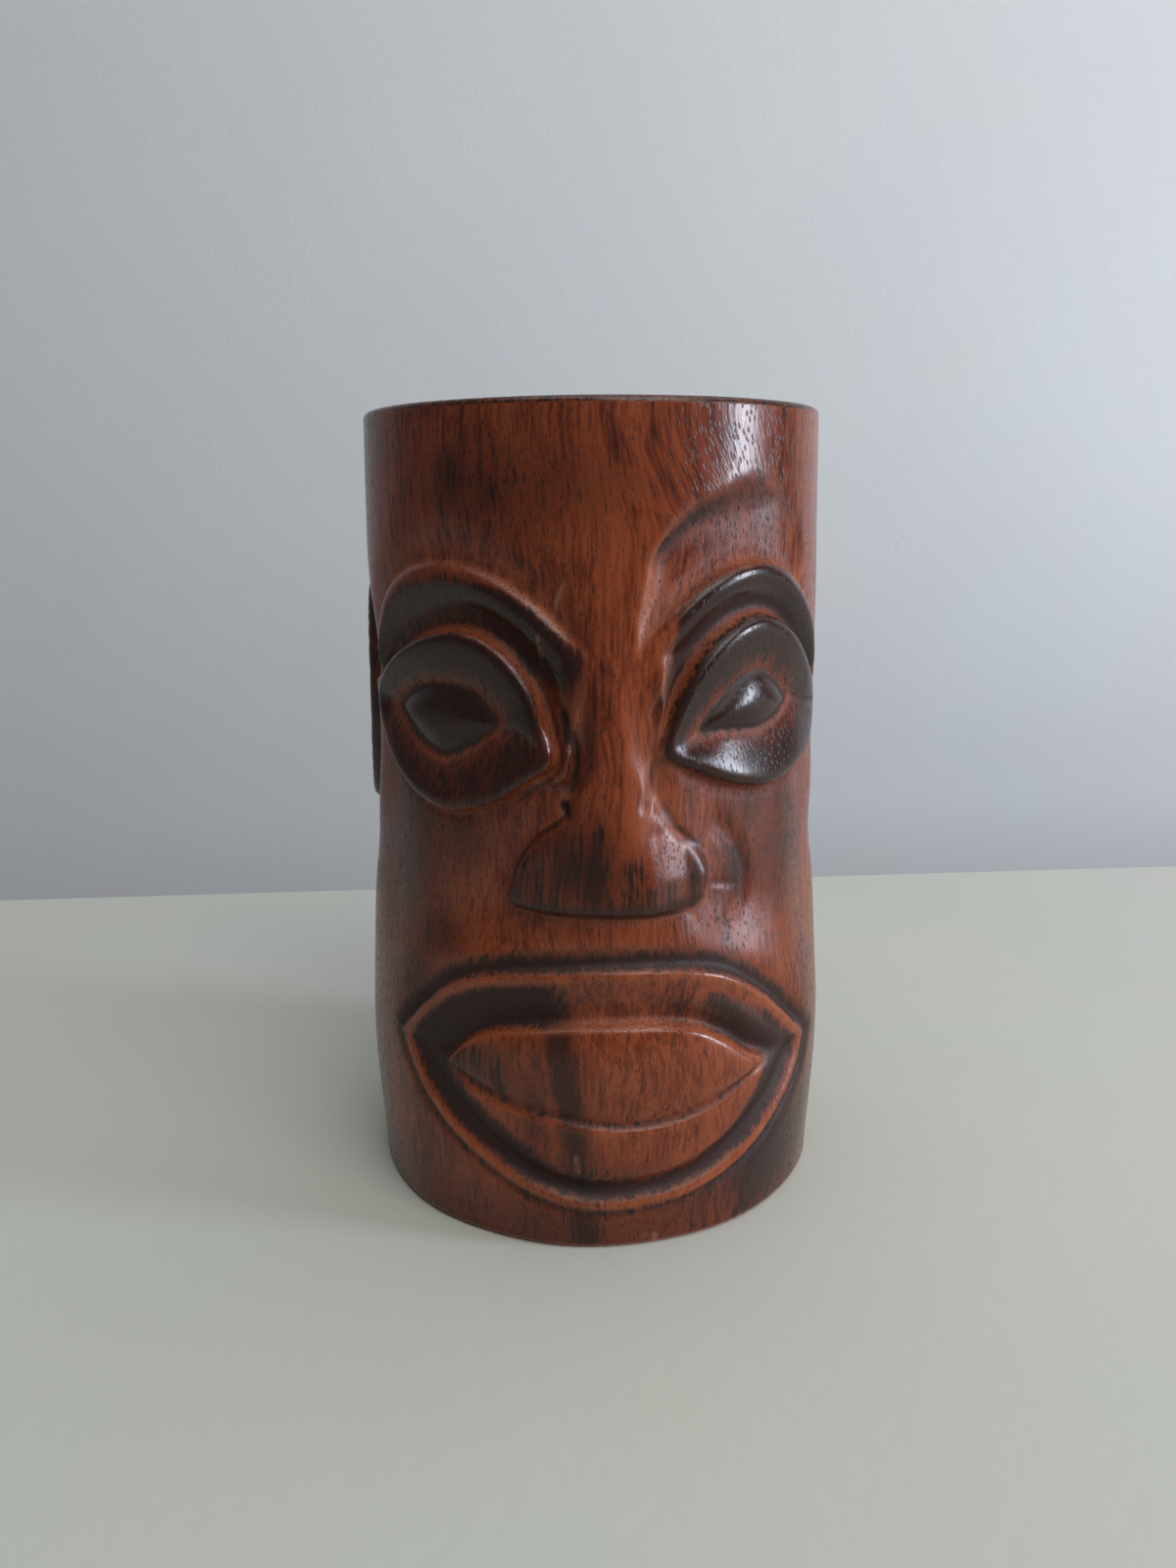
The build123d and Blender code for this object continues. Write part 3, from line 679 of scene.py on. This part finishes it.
def oiledHardwood():
    # Carved tropical hardwood, scorched in the cuts, sanded on the edges, oiled and lacquered by hand:
    # a warm figured brown with short dark pores along the grain, black hollows, pale arrises, some painted
    # shade and highlights, and a satin film that lies unevenly over the pores.
    material, tree = newMaterial("oiledHardwood")
    value = {}
    for name in fields:
        value[name] = addNode(tree, "ShaderNodeAttribute", {}, attribute_name=name).outputs["Fac"]
    place = addNode(tree, "ShaderNodeAttribute", {}, attribute_name="grainAt").outputs["Vector"]

    # the figure: nothing so regular as rings, only cloudy bands drawn out along the log
    waver = addNode(tree, "ShaderNodeTexNoise", {
        "Vector": place, "Scale": 1 / (finish["waver"] * mm), "Detail": 2, "Roughness": 0.5})
    wander = (finish["waverDepth"] * mm, finish["waverDepth"] * mm, 0.0)
    curled = addNode(tree, "ShaderNodeVectorMath", (waver.outputs["Color"], wander, place),
                     operation="MULTIPLY_ADD")
    grain = {}
    for name, detail, roughness, shift in (
            ("cloud", 4, 0.55, (0.031, 0.012, 0)), ("band", 4, 0.6, (0, 0, 0)), ("fibre", 2, 0.6, (0, 0, 0))):
        stretched = addNode(tree, "ShaderNodeMapping", {
            "Vector": curled, "Location": shift, "Scale": (1, 1, finish[name + "Stretch"])})
        grain[name] = addNode(tree, "ShaderNodeTexNoise", {
            "Vector": stretched, "Scale": 1 / (finish[name + "Width"] * mm), "Detail": detail,
            "Roughness": roughness})
    # pores: separate short vessels cut along their length, thick in some places and sparse in others
    poreStretch = (1, 1, finish["poreSpacing"] / finish["poreLength"])
    vessel = addNode(tree, "ShaderNodeTexVoronoi", {
        "Vector": addNode(tree, "ShaderNodeMapping", {"Vector": curled, "Scale": poreStretch}),
        "Scale": 1 / (finish["poreSpacing"] * mm)})
    crowd = addNode(tree, "ShaderNodeMath", (grain["cloud"], 0.5, -0.25), operation="MULTIPLY_ADD")
    fromPore = addNode(tree, "ShaderNodeMath", (vessel, crowd), operation="ADD")
    pores = addNode(tree, "ShaderNodeMapRange", (fromPore, 0.14, 0.36, 1.0, 0.0),
                    interpolation_type="SMOOTHSTEP")

    # a noise swings about a half, so half of each share is taken off at the start
    shares = {"cloud": 1.2, "band": 0.95, "fibre": 1.5}
    tone = 0.54 - sum(shares.values()) / 2
    for name, share in shares.items():
        tone = addNode(tree, "ShaderNodeMath", (grain[name], share, tone), operation="MULTIPLY_ADD")
    wood = addNode(tree, "ShaderNodeValToRGB", (tone,))
    band = wood.color_ramp.elements
    band.new(0.5)
    for stop, (at, code) in zip(band, ((0.15, "deepWood"), (0.50, "midWood"), (0.80, "lightWood"))):
        stop.position = at
        stop.color = colour(finish[code])

    # the border of a stain breaks up along the fibres
    shares = {"band": 2.6, "fibre": 4.2}
    ragged = -sum(shares.values()) / 2
    for name, share in shares.items():
        ragged = addNode(tree, "ShaderNodeMath", (grain[name], share, ragged), operation="MULTIPLY_ADD")
    streaky = addNode(tree, "ShaderNodeMath", (ragged, 0.35, value["heart"]), operation="MULTIPLY_ADD")
    streaky = addNode(tree, "ShaderNodeMapRange", (streaky, 0.2, 0.95), interpolation_type="SMOOTHSTEP")
    rubbedAndHighlight = addNode(tree, "ShaderNodeMath", (grain["band"], 0.2), operation="ADD")
    rubbedAndHighlight = addNode(tree, "ShaderNodeMath", (value["wornAndHighlight"], rubbedAndHighlight), operation="MULTIPLY", use_clamp=True)
    # scorch and painted shade need some of it to break up, so clean wood stays clean
    someBurn = addNode(tree, "ShaderNodeMath", (value["burnAndShade"], 1.5), operation="MULTIPLY", use_clamp=True)
    notAllBurn = addNode(tree, "ShaderNodeMath", (1.25, value["burnAndShade"]), operation="SUBTRACT")
    bite = addNode(tree, "ShaderNodeMath", (someBurn, notAllBurn), operation="MULTIPLY")
    scorchAndShade = addNode(tree, "ShaderNodeMath", (ragged, bite, value["burnAndShade"]), operation="MULTIPLY_ADD")
    scorchAndShade = addNode(tree, "ShaderNodeMapRange", (scorchAndShade, 0.08, 0.95), interpolation_type="SMOOTHSTEP")
    # each colour covers the ones before it: colour, how far it covers, and where
    for code, cover, where in (
            ("heartwood", 0.9, streaky), ("wornAndHighlightEdge", 1.0, rubbedAndHighlight), ("burntAndShade", 0.93, scorchAndShade),
            ("burntAndShade", 0.62, pores), ("torn", 0.6, value["torn"]), ("bore", 0.75, value["inside"])):
        amount = addNode(tree, "ShaderNodeMath", (where, cover), operation="MULTIPLY")
        layer = {0: amount, 6: wood, 7: colour(finish[code])}          # factor and the two colours
        wood = addNode(tree, "ShaderNodeMix", layer, data_type="RGBA").outputs[2]

    # the film is glossy on the rubbed wood, rougher over pores and streaks, and dull in the hollows
    rough = 0.15
    for where, share in (
            (grain["band"], 0.18), (pores, 0.22), (value["dull"], 0.35), (value["inside"], 0.15)):
        rough = addNode(tree, "ShaderNodeMath", (where, share, rough), operation="MULTIPLY_ADD", use_clamp=True)
    relief = addNode(tree, "ShaderNodeMath", (pores, -0.45), operation="MULTIPLY")
    relief = addNode(tree, "ShaderNodeMath", (grain["fibre"], 0.9, relief), operation="MULTIPLY_ADD")
    bump = addNode(tree, "ShaderNodeBump", {"Strength": 0.6, "Distance": finish["film"] * mm, "Height": relief})
    shader = addNode(tree, "ShaderNodeBsdfPrincipled", {
        "Base Color": wood, "Roughness": rough, "Normal": bump, "IOR": 1.5, "Specular IOR Level": 0.42})
    addNode(tree, "ShaderNodeOutputMaterial", {"Surface": shader})
    return material


def sandedFloorWood():
    # The same hardwood cut across the board, turned, sanded and oiled but not lacquered: dull, with
    # straight grain.
    grain = {"fibre": 0.714, "board": 5.236, "stretch": 0.04, "relief": 0.15}      # millimetres
    material, tree = newMaterial("sandedFloorWood")
    place = addNode(tree, "ShaderNodeTexCoord", {}).outputs["Object"]
    along = addNode(tree, "ShaderNodeMapping", {"Vector": place, "Scale": (1, grain["stretch"], 1)})
    fibre = addNode(tree, "ShaderNodeTexNoise", {
        "Vector": along, "Scale": 1 / (grain["fibre"] * mm), "Detail": 4, "Roughness": 0.6})
    # a wave texture draws 20 / (2 pi) bands to the unit
    board = addNode(tree, "ShaderNodeTexWave", {
        "Vector": along, "Scale": math.pi / 10 / (grain["board"] * mm), "Distortion": 5, "Detail": 3},
        bands_direction="X")
    tone = addNode(tree, "ShaderNodeMath", (board.outputs["Fac"], 0.4), operation="MULTIPLY")
    tone = addNode(tree, "ShaderNodeMath", (fibre, 0.55, tone), operation="MULTIPLY_ADD")
    wood = addNode(tree, "ShaderNodeValToRGB", (tone,))
    band = wood.color_ramp.elements
    band.new(0.5)
    for stop, (at, code) in zip(band, ((0.2, "deepWood"), (0.55, "bore"), (0.9, "midWood"))):
        stop.position = at
        stop.color = colour(finish[code])
    bump = addNode(tree, "ShaderNodeBump", {"Strength": 0.4, "Distance": grain["relief"] * mm, "Height": fibre})
    rough = addNode(tree, "ShaderNodeMath", (fibre, 0.2, 0.45), operation="MULTIPLY_ADD")
    shader = addNode(tree, "ShaderNodeBsdfPrincipled", {
        "Base Color": wood, "Roughness": rough, "Normal": bump, "IOR": 1.5})
    addNode(tree, "ShaderNodeOutputMaterial", {"Surface": shader})
    return material


body.data.materials.append(oiledHardwood())
disc.data.materials.append(sandedFloorWood())

for piece, node, slot in ((body, "mug_body", "carved_hardwood"), (disc, "base_disc", "floor_hardwood")):
    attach(piece, "root")
    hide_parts(node)


def eggshellPaint(name, code, roughness, stippleSize):
    # rolled eggshell paint: one colour, faintly cloudy, with the small bumps a roller leaves
    material, tree = newMaterial(name)
    place = addNode(tree, "ShaderNodeTexCoord", {}).outputs["Object"]
    cloud = addNode(tree, "ShaderNodeTexNoise", {"Vector": place, "Scale": 9, "Detail": 2})
    tint = addNode(tree, "ShaderNodeMix", {0: 0.08, 6: colour(code), 7: cloud.outputs["Color"]},
                   data_type="RGBA", blend_type="MULTIPLY").outputs[2]
    stipple = addNode(tree, "ShaderNodeTexNoise", {
        "Vector": place, "Scale": 1 / (stippleSize * mm), "Detail": 2})
    bump = addNode(tree, "ShaderNodeBump", {"Strength": 0.25, "Distance": 0.4 * mm, "Height": stipple})
    shader = addNode(tree, "ShaderNodeBsdfPrincipled", {
        "Base Color": tint, "Roughness": roughness, "Normal": bump})
    addNode(tree, "ShaderNodeOutputMaterial", {"Surface": shader})
    return material


print("stage")
# metres; the wall stands well back and starts below the table's far edge
room = {"half": 1.5, "tableFront": -0.3, "tableBack": 0.186, "wallBehind": 0.45, "wallFoot": -0.35,
        "table": ("#BFC1B8", 0.85, 4.0), "wall": ("#D3D5D6", 0.6, 3.0)}      # colour, roughness, stipple in mm
half = room["half"]
corners = {
    "table": [(x, y, 0) for x, y in ((-half, room["tableFront"]), (half, room["tableFront"]),
                                     (half, room["tableBack"]), (-half, room["tableBack"]))],
    "wall": [(x, room["wallBehind"], z) for x, z in ((-half, room["wallFoot"]), (half, room["wallFoot"]),
                                                     (half, half), (-half, half))],
}
for name, places in corners.items():
    plane = meshPiece(name, np.array(places), np.array([[0, 1, 2, 3]]))
    plane.data.materials.append(eggshellPaint(name + "Paint", *room[name]))

# round from the front of the face, up, distance, width, height, watts, colour
lights = {
    "window": (73, 10, 1.1, 0.20, 0.42, 8.2, "#E6EEFF"),
    "skylight": (30, 44, 1.4, 0.9, 0.9, 7.4, "#FFFBF5"),
    "ceiling": (60, 80, 1.3, 1.6, 1.6, 10.0, "#FDFEFF"),
}
lit = Vector((0, 0, 0.085))
for name, (around, elevation, distance, width, tall, watts, code) in lights.items():
    lamp = bpy.data.lights.new(name, "AREA")
    lamp.shape = "RECTANGLE"
    lamp.size = width
    lamp.size_y = tall
    lamp.energy = watts
    lamp.color = colour(code)[:3]
    holder = bpy.data.objects.new(name, lamp)
    bpy.context.scene.collection.objects.link(holder)
    a, e = math.radians(around), math.radians(elevation)
    away = Vector((math.sin(a) * math.cos(e), -math.cos(a) * math.cos(e), math.sin(e)))
    holder.location = lit + away * distance
    holder.rotation_euler = (-away).to_track_quat("-Z", "Y").to_euler()

# the room's far side looks pale, but lights the mug as little as a dim room does
air = {"colour": "#C9D0D6", "lighting": 0.2, "seen": 0.75}
world = bpy.data.worlds.new("softRoom")
world.use_nodes = True
background = world.node_tree.nodes["Background"]
background.inputs["Color"].default_value = colour(air["colour"])
seen = addNode(world.node_tree, "ShaderNodeLightPath", {}).outputs["Is Camera Ray"]
strength = addNode(world.node_tree, "ShaderNodeMapRange", (seen, 0, 1, air["lighting"], air["seen"]))
world.node_tree.links.new(strength.outputs[0], background.inputs["Strength"])
bpy.context.scene.world = world
bpy.context.scene.view_settings.view_transform = "Standard"

print("camera")
# millimetres and degrees
view = {"distance": 259.5, "height": 146.4, "turn": -4.0, "yaw": 0.28, "down": 13.35, "roll": 0.5, "lens": 27.0}
camera = bpy.data.objects.new("camera", bpy.data.cameras.new("camera"))
bpy.context.scene.collection.objects.link(camera)
camera.data.lens = view["lens"]
camera.data.sensor_width = 36.0
camera.data.clip_start = 0.01
turned = math.radians(view["turn"])
camera.location = Vector((math.sin(turned) * view["distance"], -math.cos(turned) * view["distance"],
                          view["height"])) * mm
aim = Matrix.Rotation(turned + math.radians(view["yaw"]), 3, "Z")
aim = aim @ Matrix.Rotation(math.radians(90 - view["down"]), 3, "X")
aim = aim @ Matrix.Rotation(-math.radians(view["roll"]), 3, "Z")
camera.rotation_euler = aim.to_euler()
bpy.context.scene.camera = camera
